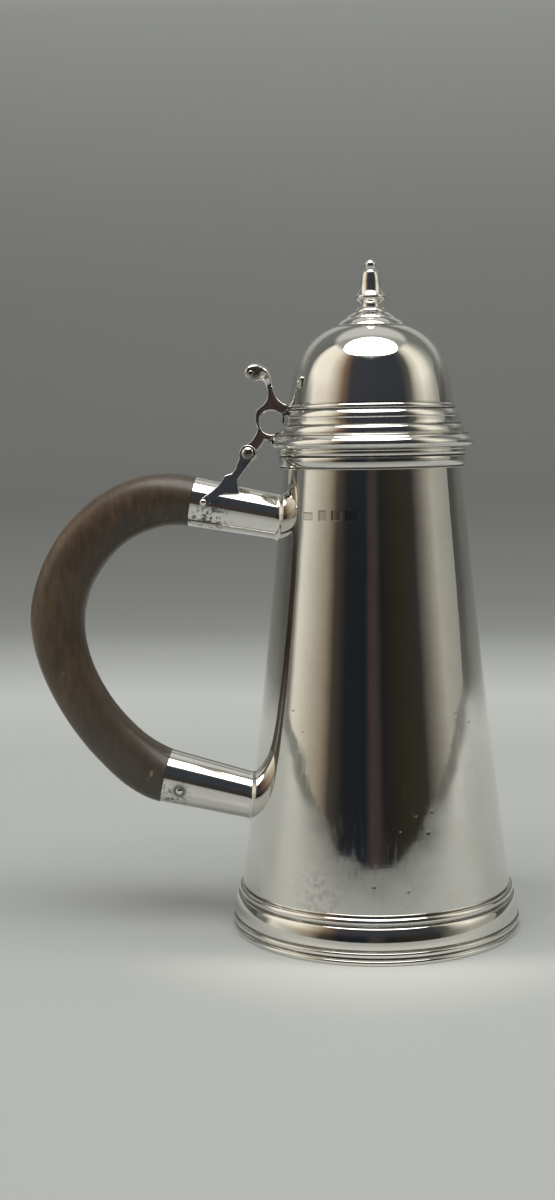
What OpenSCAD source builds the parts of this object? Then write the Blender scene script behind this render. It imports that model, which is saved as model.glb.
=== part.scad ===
// Tapering silver pot with a hinged domed lid and a pinned wooden handle.
// Z is up from the table, the vessel turns about Z, and the handle points to -X.

/* [Body] */
// Height of the rim above the table
rim_z = 173.8; // [171:0.1:174]
// Outer radius of the body just under the rim moulding
neck_r = 31.9; // [30:0.1:33]
// Outer radius of the body just above the foot
waist_r = 48.7; // [47:0.1:49]
// How far the sides draw in from straight at half height
body_draw = 0.7; // [0:0.1:1.5]
// Thickness of the body's sheet
body_wall = 0.9; // [0.8:0.1:1.5]
// Height of the bottom disc's underside above the table
base_z = 4; // [3:0.5:8]
// Thickness of the bottom disc
base_wall = 1; // [0.8:0.1:2]

/* [Foot and rim] */
// Outer radius of the foot where it stands
foot_r = 52.5; // [52:0.1:54]
// Height of the applied foot moulding
foot_h = 16.5; // [16:0.1:18]
// Outer radius of the top band of the rim moulding
rim_r = 33.9; // [33.5:0.1:34.5]
// Height of the applied rim moulding
rim_h = 7.2; // [7:0.1:8]

/* [Lid] */
// Gap between the rim and the closed lid
seat_gap = 0.2; // [0.1:0.05:0.4]
// Radius of the lid's overhanging lip
lip_r = 35.7; // [35:0.1:37]
// Height of the lid's moulded band
flange_h = 15; // [14.6:0.1:15.2]
// Outer radius of the dome at its foot
dome_r = 29.4; // [29:0.1:29.8]
// Height that the dome would reach without its rose
dome_h = 29.8; // [28:0.1:32]
// Thickness of the dome's sheet
dome_wall = 0.9; // [0.7:0.1:1.2]
// Outer radius of the collar that drops into the mouth
bezel_r = 29.2; // [28.8:0.1:29.4]
// Depth of that collar below the rim
bezel_drop = 4.5; // [3:0.5:6]
// Radius of the stepped rose under the finial
rose_r = 12.3; // [11:0.1:13]

/* [Hinge] */
// Distance of the hinge pin behind the vessel's axis
hinge_x = 44.3; // [44:0.1:44.8]
// Height of the hinge pin
hinge_z = 172.2; // [172:0.1:172.6]
// Radius of the hinge pin
hinge_pin_r = 1; // [0.8:0.1:1.2]
// Radius of the ears round the hinge pin
ear_r = 3; // [2.9:0.1:3.1]
// Thickness of the lid's cast arm
arm_w = 3.2; // [2.8:0.1:3.6]
// Width of the forked bracket across its ears
bracket_w = 6.6; // [6.4:0.1:7.2]
// Side play between the arm and each ear
side_play = 0.15; // [0.1:0.05:0.2]
// Radial clearance of the arm on the hinge pin
pin_play = 0.05; // [0.02:0.01:0.1]

/* [Handle] */
// Thickness of the sockets' sheet
socket_wall = 0.9; // [0.8:0.1:1.2]
// Depth of the wooden tenons in the sockets
tenon_l = 18; // [14:1:20]
// Thickness of the wooden handle across the body
handle_t = 17; // [15:0.5:18]
// Radius of the pins that hold the wood
handle_pin_r = 1; // [0.8:0.1:1.1]

/* [Hidden] */

$fn = 96;
eps = 0.01;
silver = "silver";
wood = "saddlebrown";

lid_z = rim_z + seat_gap;        // seat of the closed lid
dome_z = lid_z + flange_h;       // foot of the dome
neck_z = rim_z - rim_h - 1.1;    // where neck_r is taken
shell_z = 0.6;                   // lower edge of the body's sheet, clear of the table

// Each socket is [mouth x, mouth z, tilt, mouth radius, radius at the body].
upper = [-65, 155.2, 11, 8.95, 7.7];
lower = [-76.7, 54.5, 13.7, 9.85, 8.1];
socket_l = 42;                   // long enough to reach into the body everywhere
upper_pin = [4.9, 0.9];          // pin's place along and across the upper socket's axis
lower_pin = [6.6, -2.5];         // the same for the lower socket
head_rise = 0.55;                // how far a handle pin's head stands proud
bore_l = 30;                     // long enough to pass through a socket and both legs

// The bracket runs from the hinge pin down to the upper handle pin.
strut_tilt = 48;
ears_w = bracket_w + 0.3;        // the ears are thicker than the web by a raised ring
strap_t = 1.3;                   // thickness of its legs over the socket
eye_r = 1.7;                     // round ends of those legs
ring = [-35.8, 183];             // centre of the arm's open ring
ring_hole = 4.3;
neck_cut = 196;                  // height where the thumbpiece is soldered to the arm
finial_peg_r = 1.5;

// ---------------------------------------------------------------- outlines

// Outer radius of the body's sheet at height z
function body_r(z) = let(t = (neck_z - z) / (neck_z - foot_h))
    neck_r + (waist_r - neck_r) * t - 4 * body_draw * t * (1 - t);

// Points of a half-oval bead from [r0, z0] to [r1, z1], standing out by its last value
function bead(r0, z0, r1, z1, out, n = 8) = [for (i = [0:n]) let(a = 180 * i / n, t = (1 - cos(a)) / 2)
    [r0 + (r1 - r0) * t + out * sin(a), z0 + (z1 - z0) * t]];

// Points of an arc about c, between two angles
function arc(c, r, a0, a1, n = 12) = [for (i = [0:n]) let(a = a0 + (a1 - a0) * i / n)
    [c[0] + r * cos(a), c[1] + r * sin(a)]];

// Radius of a dome of foot radius r and height h at the height y above its foot
function dome_at(r, h, y) = r * (1 - 0.15 * y / h) * sqrt(max(0, 1 - pow(y / h, 3.75)));

body_steps = 14;
function body_line(inset) = [for (i = [0:body_steps]) let(z = shell_z + (rim_z - shell_z) * i / body_steps)
    [body_r(z) - inset, z]];

function reversed(list) = [for (i = [len(list) - 1:-1:0]) list[i]];

foot_line = concat(
    [[foot_r - 2.6, 0]],
    bead(foot_r - 0.4, 0, foot_r - 0.5, 1.6, 0.4),
    [[foot_r - 1.1, 2.2]],
    bead(foot_r - 0.3, 2.8, foot_r - 0.4, 4.3, 0.45),
    [[foot_r - 0.9, 4.6], [foot_r - 0.9, 4.9]],
    bead(foot_r - 0.8, 5.2, foot_r - 2.3, 12.4, 1, 14),
    [[foot_r - 2.9, 12.6], [foot_r - 2.9, 13.1], [foot_r - 2.5, 13.2], [foot_r - 2.5, 13.5]],
    bead(foot_r - 2.6, 13.6, foot_r - 3.2, 15.4, 0.5),
    [[foot_r - 3.3, 15.8], [foot_r - 3.7, foot_h]]);

rim_line = concat(
    [[neck_r, rim_z - rim_h], [rim_r - 0.9, rim_z - rim_h], [rim_r - 0.9, rim_z - 6.7]],
    bead(rim_r - 0.9, rim_z - 6.4, rim_r - 0.7, rim_z - 3, 0.45),
    [[rim_r - 0.95, rim_z - 2.8], [rim_r - 0.6, rim_z - 2.6]],
    bead(rim_r - 0.3, rim_z - 2.5, rim_r - 0.3, rim_z - 0.6, 0.3),
    [[rim_r - 0.3, rim_z]]);

flange_line = concat(
    [[lip_r, lid_z], [lip_r, lid_z + 0.3]],
    bead(lip_r + 0.1, lid_z + 0.4, 34.8, lid_z + 3.6, 1.2, 10),
    [[34.5, lid_z + 4.1], [34.2, lid_z + 4.8]],
    bead(33.2, lid_z + 5, 32.4, lid_z + 7.5, 0.35),
    [[31.9, lid_z + 7.7], [31.6, lid_z + 8.4], [31.4, lid_z + 9.4], [31.3, lid_z + 10.3]],
    bead(31.2, lid_z + 10.4, 30.1, lid_z + 13, 0.45),
    [[29.7, lid_z + 13.2]],
    bead(29.7, lid_z + 13.4, dome_r, dome_z, 0.4));

flange_inside = [[dome_r - dome_wall, dome_z], [dome_r - dome_wall, lid_z + 12.6], [30.1, lid_z + 10],
    [30.5, lid_z + 7.4], [31.9, lid_z + 6.4], [32.5, lid_z + 4.4], [34.4, lid_z + 2.4],
    [34.4, lid_z + 1], [bezel_r, lid_z + 1], [bezel_r, lid_z]];

dome_steps = 18;
// The steps crowd towards the crown, where the sheet turns over.
function dome_line(r, h) = [for (i = [0:dome_steps])
    let(y = h * sin(90 * i / dome_steps)) [dome_at(r, h, y), y]];

rose_z = dome_z + 27;            // foot of the rose on the dome
rose_line = [[0, 5.2], [6.4, 5.2], [7.4, 4.5], [8.6, 3.7], [8.8, 3.3], [9.8, 2.8], [11, 2],
    [11.9, 1.1], [rose_r, 0.5], [rose_r, 0]];

finial_line = concat(
    [[0, 0], [5.6, 0]],
    bead(5.4, 0.1, 4.4, 1.7, 0.35),
    [[3.5, 1.9], [3.4, 2.4], [3.3, 3], [3.9, 3.6], [4.8, 4.2]],
    bead(4.9, 4.4, 4.9, 6.2, 0.55),
    [[4.5, 6.9], [4.1, 7.6], [3.75, 8.9], [3.55, 10.7], [3.35, 12.4], [2.9, 14.1], [2.1, 15], [1.7, 15.3]],
    arc([0, 16.5], 2.1, -36, 90));

// ---------------------------------------------------------------- shared shapes

// Everything inside the body's outer skin, and some way below and above it
module body_solid(inset = 0) {
    rotate_extrude() polygon(concat([[0, shell_z]], body_line(inset), [[0, rim_z]]));
}

// Lays a child that runs up Z along a socket's axis, from its mouth to the body
module along(socket) {
    translate([socket[0], 0, socket[1]]) rotate([0, 90 + socket[2], 0]) children();
}

// A place on a socket, d along its axis from the mouth and up across it, as [x, z]
function on_axis(socket, d, up) = [
    socket[0] + d * cos(socket[2]) + up * sin(socket[2]),
    socket[1] - d * sin(socket[2]) + up * cos(socket[2])];

// Radius of a socket at the distance d from its mouth
function socket_r(socket, d) = socket[3] + (socket[4] - socket[3]) * d / socket_l;

// Cone of a socket's outer skin, moved outwards by grow
module socket_cone(socket, grow = 0, l = socket_l) {
    along(socket) cylinder(h = l, r1 = socket[3] + grow, r2 = socket_r(socket, l) + grow);
}

// Bore of a handle pin, right through a socket along Y
module pin_bore(s, pin) {
    at = on_axis(s, pin[0], pin[1]);
    translate([at[0], 0, at[1]]) rotate([90, 0, 0]) cylinder(h = bore_l, r = handle_pin_r, center = true);
}

module socket(s, pin) {
    difference() {
        socket_cone(s);
        along(s) translate([0, 0, -eps])
            cylinder(h = socket_l + 1, r1 = s[3] - socket_wall, r2 = socket_r(s, socket_l) - socket_wall);
        body_solid();
        pin_bore(s, pin);
    }
}

// A pin through a socket along Y, with low domed heads
module handle_pin(s, pin, proud) {
    at = on_axis(s, pin[0], pin[1]);
    reach = sqrt(pow(socket_r(s, pin[0]), 2) - pow(pin[1], 2)) + proud;
    translate([at[0], 0, at[1]]) rotate([90, 0, 0])
        rotate_extrude() polygon(concat([[0, -reach - head_rise]],
            [for (a = [75:-15:0]) [handle_pin_r * cos(a), -reach - head_rise * sin(a)]],
            [for (a = [0:15:75]) [handle_pin_r * cos(a), reach + head_rise * sin(a)]],
            [[0, reach + head_rise]]));
}

// ---------------------------------------------------------------- vessel

module body_shell() {
    color(silver) rotate_extrude()
        polygon(concat(body_line(0), reversed(body_line(body_wall))));
}

module base_disc() {
    color(silver) intersection() {
        body_solid(body_wall);
        translate([0, 0, base_z]) cylinder(h = base_wall, r = foot_r);
    }
}

module foot_ring() {
    color(silver) difference() {
        rotate_extrude() polygon(concat(foot_line, [[waist_r - 1, foot_h], [foot_r - 2.6, shell_z]]));
        body_solid();
    }
}

module rim_moulding() {
    color(silver) difference() {
        rotate_extrude() polygon(concat([[neck_r - 1.5, rim_z - rim_h]], rim_line, [[neck_r - 1.5, rim_z]]));
        body_solid();
    }
}

module upper_socket() {
    color(silver) socket(upper, upper_pin);
}

module lower_socket() {
    color(silver) socket(lower, lower_pin);
}

// ---------------------------------------------------------------- wooden handle

// Point of a cubic curve through p[0] and p[3]
function bezier(p, t) = pow(1 - t, 3) * p[0] + 3 * pow(1 - t, 2) * t * p[1]
    + 3 * (1 - t) * t * t * p[2] + pow(t, 3) * p[3];
function bezier_way(p, t) = pow(1 - t, 2) * (p[1] - p[0]) + 2 * (1 - t) * t * (p[2] - p[1])
    + t * t * (p[3] - p[2]);

back = [-115.3, 111.5];          // outermost point of the handle's centre line
upper_curve = [[upper[0], upper[1]], on_axis(upper, -30, 0), back + [0, 20.5], back];
lower_curve = [back, back - [0, 26], on_axis(lower, -14, 0), [lower[0], lower[1]]];
curve_rings = 20;
section_n = 20;

// Half depth of the wood in the plane of the handle: fuller at the top, slimmer below
function handle_half(k, t) = k == 0 ? upper[3] + 0.2 + 0.75 * min(1, 5 * t)
    : 9.9 - 0.9 * sin(180 * min(1, 1.15 * t)) + 0.1 * t;
function handle_side(k, t) = handle_t / 2 + (k == 0 ? (1 - min(1, 5 * t)) * 0.6 : max(0, 5 * t - 4) * 1.3);

// One ring of the swept section, an oval across the centre line
function handle_ring(k, t) = let(p = k == 0 ? upper_curve : lower_curve, c = bezier(p, t),
    w = bezier_way(p, t), u = w / norm(w))
    [for (i = [0:section_n - 1]) let(a = 360 * i / section_n,
        across = handle_half(k, t) * cos(a), y = handle_side(k, t) * sin(a))
        [c[0] - u[1] * across, y, c[1] + u[0] * across]];

handle_points = [for (k = [0, 1]) for (i = [k:curve_rings]) each handle_ring(k, i / curve_rings)];
ring_count = 2 * curve_rings + 1;

module handle_sweep() {
    faces = concat(
        [[for (i = [section_n - 1:-1:0]) i]],
        [for (j = [0:ring_count - 2]) for (i = [0:section_n - 1]) let(n = (i + 1) % section_n)
            [j * section_n + n, (j + 1) * section_n + n, (j + 1) * section_n + i, j * section_n + i]],
        [[for (i = [0:section_n - 1]) (ring_count - 1) * section_n + i]]);
    polyhedron(handle_points, faces, convexity = 6);
}

module tenon(s) {
    along(s) translate([0, 0, -2])
        cylinder(h = tenon_l + 2, r1 = socket_r(s, -2) - socket_wall, r2 = socket_r(s, tenon_l) - socket_wall);
}

module wooden_handle() {
    color(wood) difference() {
        union() {
            handle_sweep();
            tenon(upper);
            tenon(lower);
        }
        pin_bore(upper, upper_pin);
        pin_bore(lower, lower_pin);
    }
}

module upper_handle_pin() {
    color(silver) handle_pin(upper, upper_pin, strap_t);
}

module lower_handle_pin() {
    color(silver) handle_pin(lower, lower_pin, 0);
}

// ---------------------------------------------------------------- hinge

// Outline of the bracket above the socket, along from the hinge pin and up across, with its two worn steps
web_line = [[0, ear_r - 0.2], [2.2, 1.9], [4.2, 0.8], [5.6, 0.4], [7, -0.4], [9, -0.4], [11.2, 0.9],
    [12.4, 0.7], [14, 0.3], [16, 0.4], [16, -2], [12.6, -7.4], [11, -5.4], [9.6, -3.6], [5, -3.1],
    [0, -ear_r + 0.1]];
// The same for the two legs
leg_line = [[11, 0.6], [14, 0.2], [18, 0.8], [23, 1.4], [23.2, -1.2], [20, -2.1], [14.6, -2.6], [10, -2.7]];

module on_strut(w) {
    translate([-hinge_x, 0, hinge_z]) rotate([90, 180 - strut_tilt, 0])
        linear_extrude(height = w, center = true) mirror([0, 1]) children();
}

module hinge_bore(r, w) {
    translate([-hinge_x, 0, hinge_z]) rotate([90, 0, 0]) cylinder(h = w, r = r, center = true);
}

module hinge_bracket() {
    at = on_axis(upper, upper_pin[0], upper_pin[1]);
    color(silver) difference() {
        union() {
            // ears and web above the socket
            on_strut(bracket_w) polygon(web_line);
            hinge_bore(ear_r, ears_w);
            // legs that hug both sides of the socket
            intersection() {
                union() {
                    on_strut(bore_l) polygon(leg_line);
                    translate([at[0], 0, at[1]]) rotate([90, 0, 0]) cylinder(h = bore_l, r = eye_r, center = true);
                }
                socket_cone(upper, strap_t, 25);
            }
        }
        socket_cone(upper);
        hinge_bore(hinge_pin_r, 2 * ears_w);
        hinge_bore(ear_r + 0.25, arm_w + 2 * side_play);
        pin_bore(upper, upper_pin);
    }
}

module hinge_pin() {
    head_r = 2.1;
    half = ears_w / 2;
    color(silver) translate([-hinge_x, 0, hinge_z]) rotate([90, 0, 0]) rotate_extrude()
        polygon(concat([[0, -half - 1]],
            [for (a = [75:-15:0]) [head_r * cos(a), -half - sin(a)]],
            [[hinge_pin_r, -half], [hinge_pin_r, half]],
            [for (a = [0:15:75]) [head_r * cos(a), half + sin(a)]],
            [[0, half + 1]]));
}

// Side of the cast arm: leg up from the hinge, open ring, and neck of the thumbpiece
arm_line = concat(
    [[-hinge_x - 1.2, hinge_z + 2.4], [-42.9, 176.7], [-41.9, 178.2], [-41.3, 179.2], [-40.7, 180.8],
        [-41.1, 181.8], [-41.5, 183.4], [-41.5, 185.5], [-41.2, 187.3]],
    arc([-42.4, 193.4], 5.5, -58, 28.2),
    arc([-28, 196], 7.1, 180, 247),
    [[-28.9, 188.6], [-28.9, 175.4], [-36, 175.4], [-37.2, 176.6], [-38.3, 176.9], [-38.9, 175.7], [-40.3, 173.8],
        [-hinge_x + 1.6, hinge_z - 0.6]]);

module in_side_view(w) {
    rotate([90, 0, 0]) linear_extrude(height = w, center = true) children();
}

// Everything that the lid's moulded band fills, out to the axis
module flange_solid() {
    rotate_extrude() polygon(concat([[0, lid_z]], flange_line, [[0, dome_z]]));
}

module hinge_arm() {
    color(silver) difference() {
        union() {
            in_side_view(arm_w) polygon(arm_line);
            hinge_bore(ear_r - 0.1, arm_w);
        }
        in_side_view(2 * arm_w) translate(ring) circle(r = ring_hole);
        flange_solid();
        hinge_bore(hinge_pin_r + pin_play, 2 * arm_w);
    }
}

// Twin scrolls that flare outwards from the neck and curl over towards the handle
module thumbpiece() {
    $fn = 24;
    color(silver) for (side = [-1, 1]) {
        hull() {
            in_side_view(arm_w) polygon([[-37.6, neck_cut], [-35.1, neck_cut], [-35.5, 198.2], [-38.4, 198.2]]);
            translate([-38.3, side * 1.4, 200.6]) sphere(r = 2.1);
        }
        hull() {
            translate([-38.3, side * 1.4, 200.6]) sphere(r = 2.1);
            translate([-40.6, side * 2.6, 201.3]) sphere(r = 2.6);
        }
        hull() {
            translate([-40.6, side * 2.6, 201.3]) sphere(r = 2.6);
            translate([-42.6, side * 3.4, 200.8]) sphere(r = 2.8);
        }
    }
}

// ---------------------------------------------------------------- lid

module lid_bezel() {
    color(silver) difference() {
        translate([0, 0, rim_z - bezel_drop]) cylinder(h = bezel_drop + seat_gap + 2.4, r = bezel_r);
        translate([0, 0, rim_z - bezel_drop - 1]) cylinder(h = bezel_drop + 6, r = bezel_r - dome_wall);
    }
}

module lid_flange() {
    color(silver) rotate_extrude() polygon(concat(flange_line, flange_inside));
}

module lid_dome() {
    color(silver) translate([0, 0, dome_z]) difference() {
        rotate_extrude() polygon(concat(dome_line(dome_r, dome_h),
            reversed(dome_line(dome_r - dome_wall, dome_h - dome_wall))));
        cylinder(h = dome_h + 1, r = finial_peg_r);
    }
}

// Stepped button that is seated on the crown and carries the finial
module lid_rose() {
    color(silver) difference() {
        translate([0, 0, rose_z]) rotate_extrude() polygon(concat(rose_line, [[0, 0]]));
        translate([0, 0, dome_z]) rotate_extrude() polygon(concat(dome_line(dome_r, dome_h), [[0, 0]]));
        translate([0, 0, dome_z]) cylinder(h = dome_h + 10, r = finial_peg_r);
    }
}

module finial() {
    seat = rose_z + 5.2;
    peg = seat - (dome_z + dome_h - dome_wall) + 1.9;
    color(silver) union() {
        translate([0, 0, seat]) rotate_extrude() polygon(finial_line);
        translate([0, 0, seat - peg]) cylinder(h = peg + 1, r = finial_peg_r);
    }
}

// Washer inside the crown, over which the finial's peg is riveted, clear of the curved sheet
module finial_washer() {
    color(silver) translate([0, 0, dome_z + dome_h - dome_wall - 1.4]) difference() {
        cylinder(h = 1, r = 4);
        translate([0, 0, -1]) cylinder(h = 3, r = finial_peg_r);
    }
}

body_shell();
base_disc();
foot_ring();
rim_moulding();
upper_socket();
lower_socket();
wooden_handle();
upper_handle_pin();
lower_handle_pin();
hinge_bracket();
hinge_pin();
lid_bezel();
lid_flange();
lid_dome();
lid_rose();
finial();
finial_washer();
hinge_arm();
thumbpiece();
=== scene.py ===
import math

import bmesh
import bpy
from mathutils import Matrix, Vector, noise


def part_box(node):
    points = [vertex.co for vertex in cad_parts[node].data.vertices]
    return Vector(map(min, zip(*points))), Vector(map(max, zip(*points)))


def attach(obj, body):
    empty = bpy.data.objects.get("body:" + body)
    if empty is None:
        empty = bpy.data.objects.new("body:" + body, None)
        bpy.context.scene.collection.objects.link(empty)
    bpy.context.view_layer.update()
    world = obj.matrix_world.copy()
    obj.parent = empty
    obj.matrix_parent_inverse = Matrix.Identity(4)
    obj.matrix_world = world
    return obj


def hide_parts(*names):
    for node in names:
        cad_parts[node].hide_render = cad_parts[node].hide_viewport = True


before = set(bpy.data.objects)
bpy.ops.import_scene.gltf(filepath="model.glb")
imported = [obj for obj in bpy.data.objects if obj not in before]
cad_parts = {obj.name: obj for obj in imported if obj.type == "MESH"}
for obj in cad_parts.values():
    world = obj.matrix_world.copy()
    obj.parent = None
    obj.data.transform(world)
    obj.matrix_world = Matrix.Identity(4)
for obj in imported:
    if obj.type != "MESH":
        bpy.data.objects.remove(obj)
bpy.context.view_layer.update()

mm = 0.001  # pieces are made in millimetres and scaled when they are finished; the studio is in metres


def nodeBox(node):
    low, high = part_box(node)
    return Vector(low) / mm, Vector(high) / mm


cameraSet = {
    "lens": 48,
    "place": (0, -0.5762, 0.1817),
    "pitch": 6.2,  # degrees down
    "yaw": -3.44,
    "roll": -0.89,
}


def makeCamera():
    pitch, yaw, roll = (math.radians(cameraSet[k]) for k in ("pitch", "yaw", "roll"))
    ahead = Vector((math.sin(yaw) * math.cos(pitch), math.cos(yaw) * math.cos(pitch), -math.sin(pitch)))
    level = Vector((math.cos(yaw), -math.sin(yaw), 0))
    upright = level.cross(ahead)
    across = math.cos(roll) * level + math.sin(roll) * upright
    up = math.cos(roll) * upright - math.sin(roll) * level
    data = bpy.data.cameras.new("camera")
    data.lens = cameraSet["lens"]
    camera = bpy.data.objects.new("camera", data)
    camera.matrix_world = Matrix((across, up, -ahead)).transposed().to_4x4()
    camera.location = cameraSet["place"]
    bpy.context.scene.collection.objects.link(camera)
    bpy.context.scene.camera = camera


class Value:  # a socket that takes part in sums
    def __init__(self, shader, socket):
        self.shader = shader
        self.socket = socket

    def sum(self, operation, first, second=0):
        return self.shader.node("Math", {"operation": operation}, {0: first, 1: second})

    def __add__(self, other):
        return self.sum("ADD", self, other)

    def __radd__(self, other):
        return self.sum("ADD", other, self)

    def __sub__(self, other):
        return self.sum("SUBTRACT", self, other)

    def __rsub__(self, other):
        return self.sum("SUBTRACT", other, self)

    def __mul__(self, other):
        return self.sum("MULTIPLY", self, other)

    def __rmul__(self, other):
        return self.sum("MULTIPLY", other, self)

    def __truediv__(self, other):
        return self.sum("DIVIDE", self, other)

    def __rtruediv__(self, other):
        return self.sum("DIVIDE", other, self)

    def most(self, other):
        return self.sum("MAXIMUM", self, other)

    def size(self):
        return self.sum("ABSOLUTE", self)

    def moved(self, other):
        return self.shader.node("VectorMath", {"operation": "ADD"}, {0: self, 1: other})


class Shader:  # builds one node tree
    def __init__(self, tree):
        self.tree = tree
        tree.nodes.clear()

    def node(self, kind, settings={}, inputs={}, output=0):
        made = self.tree.nodes.new("ShaderNode" + kind)
        for name, value in settings.items():
            if name == "stops":
                self.setStops(made.color_ramp, value)
            else:
                setattr(made, name, value)
        for name, value in inputs.items():
            if isinstance(value, Value):
                self.tree.links.new(value.socket, made.inputs[name])
            else:
                made.inputs[name].default_value = value
        return Value(self, made.outputs[output]) if made.outputs else made

    def setStops(self, ramp, stops):
        while len(ramp.elements) < len(stops):
            ramp.elements.new(0.5)
        for element, (place, colour) in zip(ramp.elements, stops):
            element.position = place
            element.color = (*colour, 1)

    def mixed(self, factor, first, second):
        first, second = ((*c, 1) if isinstance(c, tuple) else c for c in (first, second))
        return self.node("Mix", {"data_type": "RGBA"}, {0: factor, 6: first, 7: second}, 2)

    def eased(self, value, start, end):  # 0 at start, 1 at end, smooth between
        settings = {"interpolation_type": "SMOOTHSTEP"}
        return self.node("MapRange", settings, {"Value": value, "From Min": start, "From Max": end})

    def split(self, vector):  # the x, y and z of a vector
        parts = self.node("SeparateXYZ", {}, {0: vector})
        return [Value(self, output) for output in parts.socket.node.outputs]

    def place(self):
        return self.node("TexCoord", output="Object")

    def stretched(self, scale, turn=(0, 0, 0)):
        return self.node("Mapping", {}, {"Vector": self.place(), "Scale": scale, "Rotation": turn})

    def noise(self, size, scale=(1, 1, 1), detail=3, rough=0.5, turn=(0, 0, 0)):
        inputs = {"Vector": self.stretched(scale, turn), "Scale": 1 / (size * mm), "Detail": detail,
                  "Roughness": rough}
        return self.node("TexNoise", {}, inputs)

    def cells(self, size, place):  # how far the nearest of many scattered points is
        return self.node("TexVoronoi", {}, {"Vector": place, "Scale": 1 / (size * mm)}, "Distance")

    def near(self, spot, inner, outer):  # 1 within inner millimetres of a spot, 0 beyond outer
        centre = tuple(c * mm for c in spot)
        away = self.node("VectorMath", {"operation": "DISTANCE"}, {0: self.place(), 1: centre}, "Value")
        return self.eased(away, outer * mm, inner * mm)

    def bump(self, height, depth, under=None):
        inputs = {"Height": height, "Distance": depth * mm, "Strength": 1}
        if under:
            inputs["Normal"] = under
        return self.node("Bump", {}, inputs)


def newShader(name):
    material = bpy.data.materials.new(name)
    material.use_nodes = True
    return material, Shader(material.node_tree)


def finishShader(shader, inputs):
    surface = shader.node("BsdfPrincipled", {}, inputs)
    shader.node("OutputMaterial", {}, {"Surface": surface})


# The room as the metal sees it: degrees round from the front, more to the right, and the light there.
# The low band is what the upright sides reflect, and the high band is what the dome reflects.
roomSet = {
    "low": [(-180, (0.2, 0.203, 0.197)), (-110, (0.16, 0.162, 0.156)), (-98, (0.14, 0.138, 0.13)),
            (-91, (0.68, 0.65, 0.56)), (-84, (0.62, 0.59, 0.5)), (-67, (0.4, 0.37, 0.3)),
            (-54, (0.26, 0.215, 0.155)), (-44, (0.055, 0.045, 0.037)), (-30, (0.014, 0.015, 0.017)),
            (-9, (0.011, 0.014, 0.019)), (-3, (0.05, 0.036, 0.033)), (3, (0.042, 0.034, 0.03)),
            (9, (0.014, 0.014, 0.014)), (30, (0.026, 0.022, 0.014)), (50, (0.03, 0.028, 0.026)),
            (64, (0.17, 0.16, 0.135)), (80, (0.37, 0.36, 0.305)), (98, (0.31, 0.31, 0.27)),
            (118, (0.24, 0.243, 0.23))],
    "high": [(-180, (0.2, 0.203, 0.197)), (-109, (0.14, 0.14, 0.135)), (-103, (0.75, 0.71, 0.61)),
             (-97, (0.95, 0.91, 0.79)), (-68, (0.86, 0.8, 0.67)), (-53, (0.5, 0.43, 0.33)),
             (-42, (0.2, 0.13, 0.085)), (-31, (0.05, 0.047, 0.05)), (-12, (0.038, 0.043, 0.052)),
             (46, (0.035, 0.039, 0.045)), (59, (0.09, 0.087, 0.075)), (69, (0.56, 0.53, 0.44)),
             (82, (0.93, 0.89, 0.77)), (95, (0.74, 0.71, 0.61)), (108, (0.33, 0.33, 0.3)),
             (122, (0.17, 0.172, 0.165))],
    "bands": (5, 22),          # where the low band gives way to the high one, in degrees up
    "ceilingFrom": (44, 52),
    "ceilingDrop": 17,         # how many degrees lower it starts at the sides
    "ceiling": (0.31, 0.31, 0.285),
    "behind": (0.55, 0.55, 0.52),
    "behindFrom": (0.1, 0.3),
    "seen": (0.19, 0.193, 0.187),
    "strength": 1.14,
}


def makeWorld():
    world = bpy.data.worlds.new("studio")
    world.use_nodes = True
    bpy.context.scene.world = world
    shader = Shader(world.node_tree)
    x, y, z = shader.split(shader.node("TexCoord", output="Generated"))
    turn = shader.node("Math", {"operation": "ARCTAN2"}, {0: x, 1: 0 - y}) / math.tau + 0.5
    rise = shader.node("Math", {"operation": "ARCSINE"}, {0: z}) * math.degrees(1)
    bands = []
    for name in ("low", "high"):
        stops = [(degrees / 360 + 0.5, colour) for degrees, colour in roomSet[name]]
        bands.append(shader.node("ValToRGB", {"stops": stops}, {"Fac": turn}))
    walls = shader.mixed(shader.eased(rise, *roomSet["bands"]), *bands)
    overhead = shader.eased(rise - x.size() * roomSet["ceilingDrop"], *roomSet["ceilingFrom"])
    top = shader.mixed(shader.eased(y, *roomSet["behindFrom"]), roomSet["ceiling"], roomSet["behind"])
    room = shader.mixed(overhead, walls, top)
    isSeen = shader.node("LightPath", output="Is Camera Ray")
    colour = shader.mixed(isSeen, room, roomSet["seen"])
    light = shader.node("Background", {}, {"Color": colour, "Strength": roomSet["strength"]})
    shader.node("OutputWorld", {}, {"Surface": light})


stageSet = {
    "front": -1.55,
    "cove": 0.72,
    "coveRadius": 0.5,
    "halfWidth": 3.2,
    "top": 1.3,
    "coveSteps": 24,
    "rise": 3,  # each metre up counts as this many along the paper
    # painted light and shade along the paper's length: darker towards the front, a painted shadow band just
    # behind the pot, a brighter patch further back, darker up the cove and wall, lighter again near its top
    "tones": [(-0.8, 0.26), (-0.45, 0.3), (-0.25, 0.357), (-0.1, 0.374), (-0.03, 0.376), (0.03, 0.365),
              (0.1, 0.375), (0.19, 0.405), (0.31, 0.435), (0.48, 0.545), (0.56, 0.505), (0.72, 0.41),
              (0.82, 0.29), (0.945, 0.24), (1.15, 0.207), (1.35, 0.178), (1.6, 0.195), (1.95, 0.213),
              (2.14, 0.226), (2.32, 0.249), (2.5, 0.28), (2.67, 0.32), (2.83, 0.35), (2.99, 0.38),
              (3.13, 0.42), (3.5, 0.75), (4.2, 0.85)],
    "tint": (0.955, 1, 1.01),
    # light that the silver throws on the paper before it: where it starts, where it ends, how much
    "glow": (0.05, 0.11, 0.2),
    "glowColour": (1, 1, 0.95),
    "glowFront": (-0.03, -0.06),
}


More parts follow.
